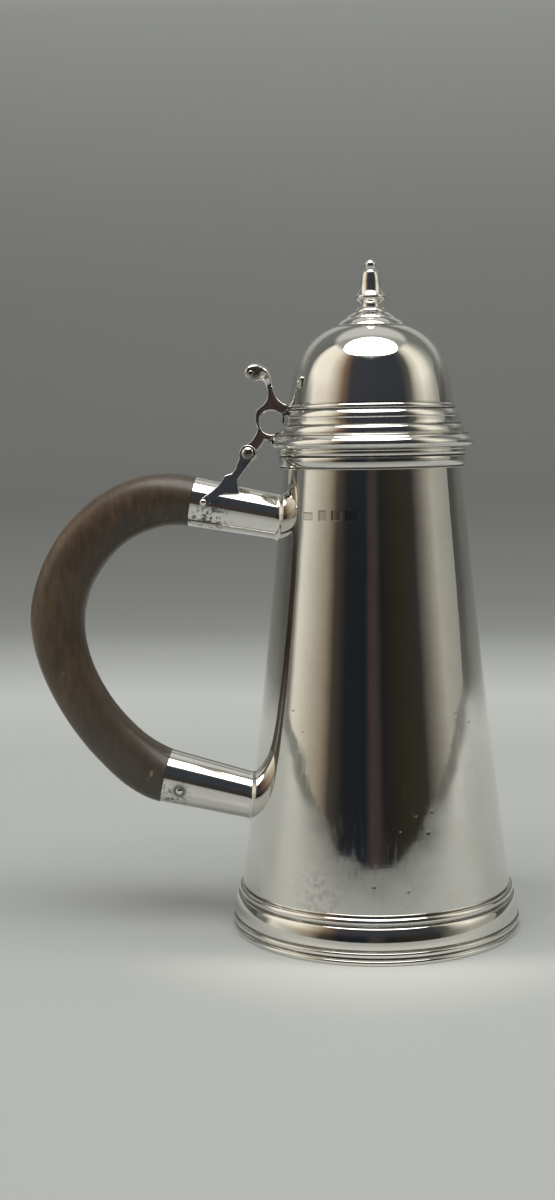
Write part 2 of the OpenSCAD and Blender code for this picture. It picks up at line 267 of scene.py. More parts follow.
def makePaper():
    material, shader = newShader("pale paper")
    aside, back, height = shader.split(shader.place())
    start, end = stageSet["tones"][0][0], stageSet["tones"][-1][0]
    stops = [((along - start) / (end - start), tuple(tone * tint for tint in stageSet["tint"]))
             for along, tone in stageSet["tones"]]
    along = (back + height * stageSet["rise"] - start) / (end - start)
    # the tones paint light and shade along the paper
    colour = shader.node("ValToRGB", {"stops": stops}, {"Fac": along})
    near, far, amount = stageSet["glow"]
    away = shader.node("Math", {"operation": "SQRT"}, {0: aside * aside + back * back})
    thrown = shader.eased(away, far, near) * shader.eased(back, *stageSet["glowFront"]) * amount
    lit = shader.mixed(thrown, colour, stageSet["glowColour"])
    finishShader(shader, {"Base Color": lit, "Roughness": 0.6, "Specular IOR Level": 0.2})
    return material


def makeStage():
    bm = bmesh.new()
    start = bm.verts.new((-stageSet["halfWidth"], stageSet["front"], 0))
    reach = bmesh.ops.extrude_vert_indiv(bm, verts=[start])["verts"]
    reach[0].co.y = stageSet["cove"]
    centre = (0, stageSet["cove"], stageSet["coveRadius"])
    swept = bmesh.ops.spin(bm, geom=reach, cent=centre, axis=(1, 0, 0), angle=math.pi / 2,
                           steps=stageSet["coveSteps"], use_merge=False)["geom_last"]
    rise = bmesh.ops.extrude_vert_indiv(bm, verts=onlyVerts(swept))
    rise["verts"][0].co.z = stageSet["top"]
    side = bmesh.ops.extrude_edge_only(bm, edges=bm.edges[:])["geom"]
    bmesh.ops.translate(bm, vec=(2 * stageSet["halfWidth"], 0, 0), verts=onlyVerts(side))
    bmesh.ops.recalc_face_normals(bm, faces=bm.faces[:])
    if sum(f.normal.z for f in bm.faces) < 0:
        bmesh.ops.reverse_faces(bm, faces=bm.faces[:])
    for face in bm.faces:
        face.smooth = True
    mesh = bpy.data.meshes.new("backdrop")
    bm.to_mesh(mesh)
    bm.free()
    stage = bpy.data.objects.new("backdrop", mesh)
    bpy.context.scene.collection.objects.link(stage)
    mesh.materials.append(makePaper())


lampSet = {
    "overhead": {"place": (0, -0.45, 1.5), "aim": (0, -0.45, 0), "size": (1.6, 1.15), "watts": 20,
                 "colour": (1, 0.985, 0.94), "isMirrored": True, "shape": "ELLIPSE"},
    "right": {"place": (1.5, -0.1, 0.8), "aim": (0, 0, 0.1), "size": (0.5, 0.9), "watts": 9,
              "colour": (1, 0.98, 0.93), "isMirrored": False, "shape": "RECTANGLE"},
    "left": {"place": (-1.5, -0.25, 0.75), "aim": (0, 0, 0.1), "size": (0.5, 0.9), "watts": 8,
             "colour": (1, 0.97, 0.9), "isMirrored": False, "shape": "RECTANGLE"},
}


def makeLamps():
    for name, lamp in lampSet.items():
        data = bpy.data.lights.new(name, "AREA")
        data.shape = lamp["shape"]
        data.size, data.size_y = lamp["size"]
        data.energy = lamp["watts"]
        data.color = lamp["colour"]
        light = bpy.data.objects.new(name, data)
        light.location = lamp["place"]
        aim = Vector(lamp["aim"]) - Vector(lamp["place"])
        light.rotation_euler = aim.to_track_quat("-Z", "Y").to_euler()
        light.visible_glossy = lamp["isMirrored"]
        bpy.context.scene.collection.objects.link(light)


silverSet = {
    "bright": (0.81, 0.795, 0.76),
    "warm": (0.69, 0.655, 0.59),
    "warmth": 0.35,        # how much of the warm tone the clouds bring
    "cloud": 9,
    "wave": 20,            # the broad waves left by the planishing hammer
    "waveDepth": 0.11,
    "dent": 8,
    "dentDepth": 0.012,
    "scratch": 1.6,
    "scratchDepth": 0.0022,
    # the colour of stains, also used for painted shade
    "stainAndShadeColour": (0.075, 0.065, 0.055),
    "speck": 3.1,          # spacing of the specks of tarnish
    "speckTone": 0.7,
    "mottle": 1.9,         # what breaks up an uneven stain
    # painted shade in the mouldings' grooves: how wide it is and how dark
    "grooveShadeWidth": (0.5, 0.1),
    "grooveShadeTone": 0.85,
    "rough": 0.035,
    "rubbedRough": 0.05,   # added where it is rubbed
    "stainedAndShadedRough": 0.3,   # added where stains and painted shade lie
}

markSet = {
    # plain punched hollows with nothing in them: place across, height, half width, half height
    "punches": [(-22.3, 150.6, 1.9, 1.5), (-17.1, 150.9, 1.5, 2.0), (-12.2, 151.0, 1.9, 1.9),
                (-7.3, 151.1, 2.0, 2.3)],
    "depth": 0.05,
    "rim": 0.6,
}

# Stains and painted shade on each finish: the spot, how far out it is whole, how far out it ends, how dark,
# is it even
stainAndShadeSet = {
    "side": [((-20, -44, 22), 1, 14, 0.2, False)],
    "socket": [((-58, -8, 149), 2, 10, 0.9, False), ((-70.9, -9, 50.5), 1.6, 3.4, 0.85, True),
               ((-73, -8, 49), 2, 8, 0.8, False), ((-64, -7, 149), 1, 6, 0.8, False),
               ((-57.5, -9, 155), 1, 5, 0.6, False)],
    # cast: the first patch is a stain; the second darkens the thumbpiece's face as tarnish and as painted
    # shade for the dark room it reflects
    "cast": [((-33, 0, 187), 1, 6, 0.5, False), ((-41.2, -5.5, 199.4), 1.5, 3.4, 0.7, True)],
    # the rivet's patch is painted shade, darkening its head where it reflects the dark room
    "rivet": [((-44.2, -4.4, 171.5), 1.2, 2.3, 0.85, True)],
}


def punches(shader):
    # Depth of the blank punches on the front of the side: 1 inside, 0 outside
    across, deep, height = shader.split(shader.place())
    rim = markSet["rim"]
    hollow = None
    for x, z, halfWidth, halfHeight in markSet["punches"]:
        aside = (across - x * mm).size() - (halfWidth - rim) * mm
        above = (height - z * mm).size() - (halfHeight - rim) * mm
        inside = shader.eased(aside, rim * mm, 0) * shader.eased(above, rim * mm, 0)
        hollow = inside if hollow is None else hollow.most(inside)
    return hollow * shader.eased(deep, 0, -5 * mm)


def silver(name, waves=1.0, stainsAndShade=(), shadedGrooves=(), isMarked=False):
    # Polished silver: broad waves, fine rubbed scratches, small dents, specks of tarnish
    look = silverSet
    material, shader = newShader(name)
    broad = shader.noise(look["wave"], detail=1)
    rubbed = shader.noise(look["scratch"], scale=(1, 1, 0.12), detail=4, rough=0.6)
    crossed = shader.noise(look["scratch"] * 1.3, scale=(0.1, 0.1, 1), rough=0.6, turn=(0.4, 0, 0.2))
    cloudy = shader.noise(look["cloud"], detail=4, rough=0.65)
    mottled = shader.noise(look["mottle"], detail=4, rough=0.6)
    dent = shader.eased(shader.cells(look["dent"], shader.place()), 0.16, 0)
    speck = shader.eased(shader.cells(look["speck"], shader.place()), 0.1, 0.04)
    stainedAndShaded = speck * shader.eased(cloudy, 0.56, 0.66) * look["speckTone"]
    # stains, and the painted shade that the table gives for the rivet and the thumbpiece
    for spot, inner, outer, amount, isEven in stainsAndShade:
        patch = shader.near(spot, inner, outer)
        broken = patch if isEven else patch * shader.eased(mottled, 0.48, 0.58)
        stainedAndShaded = stainedAndShaded.most(broken * amount)
    height = shader.split(shader.place())[2]
    outer, inner = look["grooveShadeWidth"]
    for z in shadedGrooves:  # painted shade darkening the grooves of a moulding
        line = shader.eased((height - z * mm).size(), outer * mm, inner * mm)
        stainedAndShaded = stainedAndShaded.most(line * shader.eased(cloudy, 0.1, 0.5) * look["grooveShadeTone"])
    toned = shader.mixed(shader.eased(cloudy, 0.35, 0.8) * look["warmth"], look["bright"], look["warm"])
    colour = shader.mixed(stainedAndShaded, toned, look["stainAndShadeColour"])
    waved = shader.bump(broad, look["waveDepth"] * waves)
    dented = shader.bump(1 - dent, look["dentDepth"] * waves, waved)
    if isMarked:
        hollow = punches(shader)
        dented = shader.bump(1 - hollow, markSet["depth"], dented)
        # painted shade on the punches: darkest on their sloping edges, a little inside them
        colour = shader.mixed((hollow * (1 - hollow) * 3).most(hollow * 0.3), colour, look["stainAndShadeColour"])
    scratched = shader.bump(rubbed + crossed * 0.7, look["scratchDepth"], dented)
    rough = look["rough"] + shader.eased(rubbed, 0.45, 0.75) * look["rubbedRough"]
    finishShader(shader, {"Base Color": colour, "Metallic": 1, "Normal": scratched,
                          "Roughness": rough + stainedAndShaded * look["stainedAndShadedRough"]})
    return material


woodSet = {
    "dark": (0.019, 0.0145, 0.0115),
    "mid": (0.06, 0.039, 0.0225),
    "pale": (0.134, 0.084, 0.045),
    "tones": (0.3, 0.5, 0.72),  # where in the figure the dark, mid and pale tones lie
    "grain": 2,
    "grainTurn": (0, 0.22, 0),
    "grainDepth": 0.035,
    "fibre": 0.55,
    "cloud": 17,
    "dusty": (0.082, 0.074, 0.062),
    "dustBelow": (105, 60),
    "dust": 0.45,
    "sooty": (0.026, 0.024, 0.022),
    "soot": 0.55,
    "sootReach": (2, 22),       # out from each end of the wood
    "worn": (0.30, 0.235, 0.165),
    "knock": 8,                 # spacing of the dents
    "knockTone": 0.75,
    "knockDepth": 0.16,
    "ragged": 1.6,
    "rough": 0.36,
    "oil": 0.42,
}


def wood(name, ends):
    # Old oiled fruitwood: straight grain, dark ends, dents where it was knocked
    look = woodSet
    material, shader = newShader(name)
    grain = shader.noise(look["grain"], scale=(1, 1, 0.22), detail=6, rough=0.6, turn=look["grainTurn"])
    fibres = shader.noise(look["fibre"], scale=(1, 1, 0.05), rough=0.7, turn=look["grainTurn"])
    cloudy = shader.noise(look["cloud"], detail=4, rough=0.6)
    stops = list(zip(look["tones"], (look["dark"], look["mid"], look["pale"])))
    figure = shader.node("ValToRGB", {"stops": stops}, {"Fac": grain * 0.42 + cloudy * 0.4 + fibres * 0.18})
    height = shader.split(shader.place())[2]
    high, low = look["dustBelow"]
    dusted = shader.mixed(shader.eased(height, high * mm, low * mm) * look["dust"], figure, look["dusty"])
    first, second = (shader.near(end, *look["sootReach"]) for end in ends)
    shaded = shader.mixed((first + second) * look["soot"], dusted, look["sooty"])
    ragged = shader.stretched((1, 1, 0.7)).moved(shader.noise(look["ragged"]) * (look["ragged"] * mm))
    knock = shader.eased(shader.cells(look["knock"], ragged), 0.17, 0.08)
    knock = knock * shader.eased(shader.noise(12), 0.53, 0.6)
    colour = shader.mixed(knock * look["knockTone"], shaded, look["worn"])
    pressed = shader.bump(1 - knock, look["knockDepth"])
    grained = shader.bump(grain + fibres * 0.6, look["grainDepth"], pressed)
    finishShader(shader, {"Base Color": colour, "Roughness": look["rough"] + cloudy * 0.16 + fibres * 0.08,
                          "Normal": grained, "Coat Weight": look["oil"], "Coat Roughness": 0.28,
                          "Specular IOR Level": 0.42})
    return material


def onlyVerts(geometry):
    return [g for g in geometry if isinstance(g, bmesh.types.BMVert)]


def finishPiece(name, bm, material, body, nodes, sharp=38, isFlat=False):
    # Merges, shades and scales a mesh, and hands it to the frame in place of its nodes
    bmesh.ops.remove_doubles(bm, verts=bm.verts[:], dist=0.0005)
    bmesh.ops.recalc_face_normals(bm, faces=bm.faces[:])
    bmesh.ops.scale(bm, vec=(mm, mm, mm), verts=bm.verts[:])
    for face in bm.faces:
        face.smooth = True
    for edge in bm.edges:
        edge.smooth = edge.calc_face_angle(0) < math.radians(sharp)
    mesh = bpy.data.meshes.new(name)
    bm.to_mesh(mesh)
    bm.free()
    mesh.materials.append(material)
    piece = bpy.data.objects.new(name, mesh)
    bpy.context.scene.collection.objects.link(piece)
    if isFlat:
        piece.modifiers.new("flat faces stay flat", "WEIGHTED_NORMAL").keep_sharp = True
    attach(piece, body)
    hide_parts(*nodes)


def softened(outline, size, isClosed, steps=3, leastTurn=0.45, share=0.45):
    # Rounds each corner of an outline that turns by more than leastTurn
    count = len(outline)
    made = []
    for i, point in enumerate(outline):
        here = Vector(point)
        back = Vector(outline[i - 1]) - here
        on = Vector(outline[(i + 1) % count]) - here
        isEnd = not isClosed and i in (0, count - 1)
        if isEnd or min(back.length, on.length) < 1e-6 or math.pi - back.angle(on) < leastTurn:
            made.append(tuple(here))
            continue
        start = here + back.normalized() * min(size, back.length * share)
        end = here + on.normalized() * min(size, on.length * share)
        for k in range(steps + 1):
            t = k / steps
            made.append(tuple(start * (1 - t) ** 2 + here * 2 * t * (1 - t) + end * t * t))
    return made


def spun(outline, isClosed=True, steps=192, ease=0.12):
    # Turns an outline of (radius, height) about the Z axis
    bm = bmesh.new()
    line = [bm.verts.new((r, 0, z)) for r, z in softened(outline, ease, isClosed)]
    pairs = zip(line, line[1:] + line[:1]) if isClosed else zip(line, line[1:])
    edges = [bm.edges.new(pair) for pair in pairs]
    bmesh.ops.spin(bm, geom=line + edges, cent=(0, 0, 0), axis=(0, 0, 1), angle=math.tau, steps=steps,
                   use_merge=True)
    bmesh.ops.remove_doubles(bm, verts=bm.verts[:], dist=0.0005)
    return bm


def lofted(rings, around, place):
    # Extrudes a circle ring by ring; place(ring, turn) says where each point goes
    bm = bmesh.new()
    ring = bmesh.ops.create_circle(bm, radius=1, segments=around)["verts"]
    turns = {v: i / around for i, v in enumerate(ring)}
    for v in ring:
        v.co = place(0, turns[v])
    edges = bm.edges[:]
    for k in range(1, rings):
        grown = bmesh.ops.extrude_edge_only(bm, edges=edges)["geom"]
        newTurns = {}
        for v in onlyVerts(grown):
            for edge in v.link_edges:
                old = edge.other_vert(v)
                if old in turns:
                    newTurns[v] = turns[old]
        edges = [g for g in grown
                 if isinstance(g, bmesh.types.BMEdge) and all(v in newTurns for v in g.verts)]
        for v, turn in newTurns.items():
            v.co = place(k, turn)
        turns = newTurns
    bmesh.ops.holes_fill(bm, edges=[e for e in bm.edges if e.is_boundary], sides=0)
    return bm


def bead(start, end, out, steps=12):
    # A half-oval bead between two points of an outline
    (r0, z0), (r1, z1) = start, end
    points = []
    for i in range(steps + 1):
        turn = math.pi * i / steps
        t = (1 - math.cos(turn)) / 2
        points.append((r0 + (r1 - r0) * t + out * math.sin(turn), z0 + (z1 - z0) * t))
    return points


def roundEdges(bm, width, sharp):
    edges = [e for e in bm.edges if e.calc_face_angle(0) > math.radians(sharp)]
    bmesh.ops.bevel(bm, geom=edges, offset=width, offset_type="OFFSET", segments=3, profile=0.5,
                    affect="EDGES", clamp_overlap=False, material=-1)
    bmesh.ops.triangulate(bm, faces=[f for f in bm.faces if len(f.verts) > 4])
    return bm


def carved(bm, tools):
    # Cuts or joins one mesh with others, each given with its operation
    made = []
    for shape in [bm] + [tool for tool, _ in tools]:
        bmesh.ops.recalc_face_normals(shape, faces=shape.faces[:])
        mesh = bpy.data.meshes.new("working")
        shape.to_mesh(mesh)
        shape.free()
        made.append(bpy.data.objects.new("working", mesh))
        bpy.context.scene.collection.objects.link(made[-1])
    for tool, (_, operation) in zip(made[1:], tools):
        cut = made[0].modifiers.new("cut", "BOOLEAN")
        cut.operation = operation
        cut.solver = "EXACT"
        cut.object = tool
    result = bmesh.new()
    result.from_object(made[0], bpy.context.evaluated_depsgraph_get())
    for shape in made:
        mesh = shape.data
        bpy.data.objects.remove(shape)
        bpy.data.meshes.remove(mesh)
    bmesh.ops.remove_doubles(result, verts=result.verts[:], dist=0.01)
    bmesh.ops.dissolve_limit(result, angle_limit=math.radians(1), verts=result.verts[:],
                             edges=result.edges[:])
    return result


def laidAlongY(bm, place):
    # Turns a mesh made about Z to lie along Y at a place
    bmesh.ops.rotate(bm, cent=(0, 0, 0), matrix=Matrix.Rotation(math.pi / 2, 3, "X"), verts=bm.verts[:])
    bmesh.ops.translate(bm, vec=place, verts=bm.verts[:])
    return bm


def barrel(place, radius, width):
    bm = bmesh.new()
    bmesh.ops.create_cone(bm, cap_ends=True, segments=64, radius1=radius, radius2=radius, depth=width)
    return laidAlongY(bm, place)


bodyLow, bodyHigh = nodeBox("body_shell")
rimLow = nodeBox("rim_moulding")[0].z
rimZ = bodyHigh.z
footHigh = nodeBox("foot_ring")[1].z

sideSet = {
    "neckRadius": 31.9,
    "neck": rimLow - 1.1,
    "waistRadius": 48.7,
    "draw": 0.7,  # how far the line from neck to foot is hollowed
    "wall": 0.9,
    "rings": 60,
}


def sideRadius(z):
    t = (sideSet["neck"] - z) / (sideSet["neck"] - footHigh)
    spread = (sideSet["waistRadius"] - sideSet["neckRadius"]) * t
    return sideSet["neckRadius"] + spread - 4 * sideSet["draw"] * t * (1 - t)


def makeSide(material):
    rings = sideSet["rings"]
    heights = [bodyLow.z + (rimZ - bodyLow.z) * i / rings for i in range(rings + 1)]
    outer = [(sideRadius(z), z) for z in heights]
    inner = [(sideRadius(z) - sideSet["wall"], z) for z in reversed(heights)]
    finishPiece("vessel_side", spun(outer + inner), material, "pot", ["body_shell"])


footSet = {
    "radius": 52.5,
    "lap": 0.3,  # how far it reaches into the side's wall
}


def makeFoot(material):
    r = footSet["radius"]
    seat, top = (sideRadius(z) - footSet["lap"] for z in (1, footHigh))
    outline = ([(r - 2.6, 0)] + bead((r - 0.4, 0), (r - 0.5, 1.6), 0.4) + [(r - 1.1, 2.2)]
               + bead((r - 0.3, 2.8), (r - 0.4, 4.3), 0.28) + [(r - 0.9, 4.6), (r - 0.9, 4.9)]
               + bead((r - 0.8, 5.2), (r - 2.3, 12.4), 0.75, 24)
               + [(r - 2.9, 12.6), (r - 2.9, 13.1), (r - 2.5, 13.2), (r - 2.5, 13.5)]
               + bead((r - 2.6, 13.6), (r - 3.2, 15.4), 0.5) + [(r - 3.3, 15.8), (r - 3.7, footHigh)]
               + [(top, footHigh), (seat, 1)])
    finishPiece("foot_moulding", spun(outline), material, "pot", ["foot_ring"])


rimSet = {
    "radius": 33.9,
    "inside": 30.9,
}


def makeRim(material):
    r, z, inside = rimSet["radius"], rimZ, rimSet["inside"]
    outline = ([(inside, rimLow), (r - 0.9, rimLow), (r - 0.9, z - 6.7)]
               + bead((r - 0.9, z - 6.4), (r - 0.7, z - 3), 0.45)
               + [(r - 0.95, z - 2.8), (r - 0.6, z - 2.6)]
               + bead((r - 0.3, z - 2.5), (r - 0.3, z - 0.6), 0.3) + [(r - 0.3, z), (inside, z)])
    finishPiece("mouth_moulding", spun(outline), material, "pot", ["rim_moulding"])


socketSet = {
    "length": 42,
    "wall": 0.9,
    "around": 96,
    "upper": {"mouth": (-65, 155.2), "tilt": 11, "radii": (8.95, 7.7)},
    "lower": {"mouth": (-76.7, 54.5), "tilt": 13.7, "radii": (9.85, 8.1)},
    # from inside the mouth over its edge: how far along, and how far out from the skin
    "lip": [(16, -0.9), (0.25, -0.9), (0, -0.648), (-0.02, -0.27), (0.2, 0)],
    "plain": (0.6, 1.8),  # the plain part starts this far along and stops this far short of the side
    "plainRings": 26,
    # soldered seam: how far short of the side, and how far out from the skin
    "seam": [(1.5, 0), (0.9, 0.12), (0.5, 0.32), (0.2, 0.68), (0, 1.1), (-0.35, 1.2)],
}


def socketRadius(socket, along):
    wide, narrow = socket["radii"]
    return wide + (narrow - wide) * along / socketSet["length"]


def onSocket(socket, along, turn, radius):
    # A point of a socket: along its axis from the mouth, round it, and out from it
    tilt = math.radians(socket["tilt"])
    axis = Vector((math.cos(tilt), 0, -math.sin(tilt)))
    up = Vector((math.sin(tilt), 0, math.cos(tilt)))
    out = up * math.cos(turn * math.tau) + Vector((0, 1, 0)) * math.sin(turn * math.tau)
    return Vector((socket["mouth"][0], 0, socket["mouth"][1])) + axis * along + out * radius


def reachOf(socket, turn, grow=0.0):
    # How far along a socket its skin meets the side
    near, far = 0.0, float(socketSet["length"])
    for _ in range(24):
        middle = (near + far) / 2
        point = onSocket(socket, middle, turn, socketRadius(socket, middle) + grow)
        isOutside = math.hypot(point.x, point.y) > sideRadius(point.z)
        near, far = (middle, far) if isOutside else (near, middle)
    return near


def makeSocket(name, socket, material, node):
    lip, plainRings, seam = (socketSet[k] for k in ("lip", "plainRings", "seam"))
    first, short = socketSet["plain"]

    def place(ring, turn):
        step = ring - len(lip)
        if step < 0:
            along, grow = lip[ring]
        elif step < plainRings:
            along = first + (reachOf(socket, turn) - first - short) * step / (plainRings - 1)
            grow = 0
        else:
            left, grow = seam[step - plainRings]
            along = reachOf(socket, turn, grow) - left
        return onSocket(socket, along, turn, socketRadius(socket, along) + grow)

    bm = lofted(len(lip) + plainRings + len(seam), socketSet["around"], place)
    finishPiece(name, bm, material, "pot", [node])


handleSet = {
    "back": (-115.3, 111.5),
    "upperPulls": (-30, 20.5),  # how far the curve is drawn from the upper socket, and up from the back
    "lowerPulls": (-14, 26),
    "halfWidth": 8.5,
    "halfDepth": 9.9,
    "upperEnd": (-0.75, 0.6),   # how much deeper and wider it is there
    "lowerEnd": (0.1, 1.3),
    "endShare": 0.2,            # of the upper or lower half of the curve
    "slimmer": 0.9,             # below the back
    "square": 2.35,             # power of the oval's curve: above 2 its shoulders are fuller
    "tenon": (0.35, 15),        # where it starts and ends, in from the socket's mouth
    "tenonGap": 0.03,
    "rings": 46,
    "around": 72,
    "wear": ((13, 0.14), (5, 0.05)),  # size and depth of its unevenness
}


def axisPoint(socket, along):
    point = onSocket(socket, along, 0, 0)
    return Vector((point.x, point.z))


def bezier(points, t):
    s = 1 - t
    a, b, c, d = points
    return a * s ** 3 + b * 3 * s * s * t + c * 3 * s * t * t + d * t ** 3


def bezierWay(points, t):
    s = 1 - t
    a, b, c, d = points
    return ((b - a) * s * s + (c - b) * 2 * s * t + (d - c) * t * t).normalized()


def tenonStation(socket, along, sign):
    core = socketRadius(socket, along) - socketSet["wall"] - handleSet["tenonGap"]
    way = axisPoint(socket, 1) - axisPoint(socket, 0)
    return axisPoint(socket, along), way * sign, core, core, 2


def handleStations():
    # Each is a centre, a direction, the half sizes in and across the handle's plane, and the oval's power
    upper, lower, rings = socketSet["upper"], socketSet["lower"], handleSet["rings"]
    deepest, widest, square = handleSet["halfDepth"], handleSet["halfWidth"], handleSet["square"]
    share = handleSet["endShare"]
    back = Vector(handleSet["back"])
    along, rise = handleSet["upperPulls"]
    top = (axisPoint(upper, 0), axisPoint(upper, along), back + Vector((0, rise)), back)
    along, fall = handleSet["lowerPulls"]
    bottom = (back, back - Vector((0, fall)), axisPoint(lower, along), axisPoint(lower, 0))
    stations = [tenonStation(upper, along, -1) for along in reversed(handleSet["tenon"])]
    deeper, wider = handleSet["upperEnd"]
    for i in range(rings + 1):
        t = i / rings
        end = max(0, 1 - t / share)
        stations.append((bezier(top, t), bezierWay(top, t), deepest + deeper * end, widest + wider * end,
                         square + (2 - square) * end))
    deeper, wider = handleSet["lowerEnd"]
    for i in range(1, rings + 1):
        t = i / rings
        end = max(0, 1 - (1 - t) / share)
        slimmer = handleSet["slimmer"] * math.sin(math.pi * min(1, 1.15 * t))
        stations.append((bezier(bottom, t), bezierWay(bottom, t), deepest - slimmer + deeper * t,
                         widest + wider * end, square + (2 - square) * end))
    return stations + [tenonStation(lower, along, 1) for along in handleSet["tenon"]]


def makeHandle(material):
    stations = handleStations()

    def place(ring, turn):
        centre, way, deep, wide, power = stations[ring]
        cosine, sine = math.cos(turn * math.tau), math.sin(turn * math.tau)
        across = deep * math.copysign(abs(cosine) ** (2 / power), cosine)
        side = wide * math.copysign(abs(sine) ** (2 / power), sine)
        point = Vector((centre.x - way.y * across, side, centre.y + way.x * across))
        if 6 < ring < len(stations) - 7:  # years of hands have left it a little uneven
            worn = abs(sum(noise.noise(point / size) * depth for size, depth in handleSet["wear"]))
            point = point - Vector((-way.y * cosine, sine, way.x * cosine)) * worn
        return point

    bm = lofted(len(stations), handleSet["around"], place)
    finishPiece("wooden_grip", bm, material, "pot", ["wooden_handle"], 50)


# Radius of each pin's shaft and heads, how far the heads stand out, and how far round their dome turns
pinSet = {
    "upper_pin": {"node": "upper_handle_pin", "shaft": 1, "head": 1.2, "rise": 0.8, "dome": 70},
    "lower_pin": {"node": "lower_handle_pin", "shaft": 1, "head": 1.4, "rise": 0.9, "dome": 65},
    "hinge_rivet": {"node": "hinge_pin", "shaft": 1, "head": 2.1, "rise": 1, "dome": 26},
}


def makePin(name, material, steps=10):
    pin = pinSet[name]
    low, high = nodeBox(pin["node"])
    reach = (high.y - low.y) / 2
    neck = reach - pin["rise"]
    full = math.radians(pin["dome"])
    lift = pin["rise"] * 0.75 / (1 - math.cos(full))
    half = [(pin["shaft"], neck), (pin["head"], neck)]
    for i in range(steps + 1):
        turn = full * (1 - i / steps)
        half.append((pin["head"] * math.sin(turn) / math.sin(full), reach - (1 - math.cos(turn)) * lift))
    outline = [(r, -z) for r, z in reversed(half)] + half
    bm = laidAlongY(spun(outline, isClosed=False, steps=48, ease=0.05), (low + high) / 2)
    finishPiece(name, bm, material, "pot", [pin["node"]])


bracketSet = {
    # side of the bracket, along from the hinge pin towards the handle pin and up across it
    "outline": [(0, 2.7), (2.2, 1.9), (4.2, 0.8), (5.6, 0.4), (7, -0.4), (9, -0.4), (11.2, 0.9),
                (12.4, 0.7), (14, 0.3), (18, 0.7), (22, 1.6), (23.4, 1.6), (24.5, 0.9), (24.8, -0.2),
                (24.3, -1.3), (23, -1.8), (20, -2.1), (16.5, -3.2), (12.6, -7.4), (11, -5.4), (9.6, -3.6),
                (5, -3.1), (0, -2.8)],
    "tilt": 48,
    "halfWidth": 3.3,       # at the hinge
    "spread": 0.275,        # each face leans out by this much for each millimetre along
    "spreadFrom": 2,
    "ear": 3,
    "earsWidth": 6.9,
    "slot": (3.25, 3.5),    # radius and width of the gap for the arm
    "socketCut": (-4, 40),  # how much of the socket's cone is cut away, along its axis
    "edge": 0.36,
}


def makeBracket(material):
    low, high = nodeBox("hinge_pin")
    pin = Vector(((low.x + high.x) / 2, 0, (low.z + high.z) / 2))
    tilt = math.radians(bracketSet["tilt"])
    way = Vector((-math.cos(tilt), 0, -math.sin(tilt)))
    up = Vector((-math.sin(tilt), 0, math.cos(tilt)))
    bm = bmesh.new()
    side = bm.faces.new([bm.verts.new((along, across, 0)) for along, across in bracketSet["outline"]])
    grown = bmesh.ops.extrude_face_region(bm, geom=[side])["geom"]
    front = set(onlyVerts(grown))
    for v in bm.verts:
        spread = bracketSet["spread"] * max(0, v.co.x - bracketSet["spreadFrom"])
        half = bracketSet["halfWidth"] + spread
        v.co = pin + way * v.co.x + up * v.co.y + Vector((0, -half if v in front else half, 0))
    socket = socketSet["upper"]

    def onCone(ring, turn):
        along = bracketSet["socketCut"][ring]
        return onSocket(socket, along, turn, socketRadius(socket, along))

    cone = lofted(2, socketSet["around"], onCone)
    ears = barrel(pin, bracketSet["ear"], bracketSet["earsWidth"])
    slot = barrel(pin, *bracketSet["slot"])
    solid = carved(bm, [(ears, "UNION"), (cone, "DIFFERENCE"), (slot, "DIFFERENCE")])
    finishPiece("forked_bracket", roundEdges(solid, bracketSet["edge"], 30), material, "pot",
                ["hinge_bracket"], isFlat=True)


armSet = {
    "edge": 0.4,
    "sharp": 35,
}


def makeArm(material):
    # The CAD arm with its sharp edges rounded
    bm = bmesh.new()
    bm.from_mesh(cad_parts["hinge_arm"].data)
    bmesh.ops.scale(bm, vec=(1 / mm,) * 3, verts=bm.verts[:])
    bmesh.ops.remove_doubles(bm, verts=bm.verts[:], dist=0.002)
    roundEdges(bm, armSet["edge"], armSet["sharp"])
    finishPiece("lid_arm", bm, material, "lid", ["hinge_arm"], isFlat=True)


lidZ = nodeBox("lid_flange")[0].z
domeZ = nodeBox("lid_dome")[0].z
roseTop = nodeBox("lid_rose")[1].z
roseZ = roseTop - 5.2

domeSet = {
    "radius": 29.4,
    "height": 29.8,
    "wall": 0.9,
    "hole": 1.5,     # for the finial's peg
    "draw": 0.15,    # how much narrower it would be at the crown
    "square": 3.75,  # power of its curve: the higher, the fuller the shoulder
    "steps": 56,
}


def domeRadius(radius, height, y):
    share = min(1, y / height)
    return radius * (1 - domeSet["draw"] * share) * math.sqrt(max(0, 1 - share ** domeSet["square"]))


def domeLine(inset):
    # From the dome's foot up to the hole at the crown
    radius, height, hole = domeSet["radius"] - inset, domeSet["height"] - inset, domeSet["hole"]
    line = []
    for i in range(domeSet["steps"] + 1):
        y = height * math.sin(math.pi / 2 * i / domeSet["steps"])
        r = domeRadius(radius, height, y)
        if r < hole:
            break
        line.append((r, domeZ + y))
    return line + [(hole, line[-1][1] + 0.05)]


def makeDome(material):
    outline = domeLine(0) + domeLine(domeSet["wall"])[::-1]
    finishPiece("dome_shell", spun(outline), material, "lid", ["lid_dome"])


flangeSet = {
    "lip": 35.7,
}


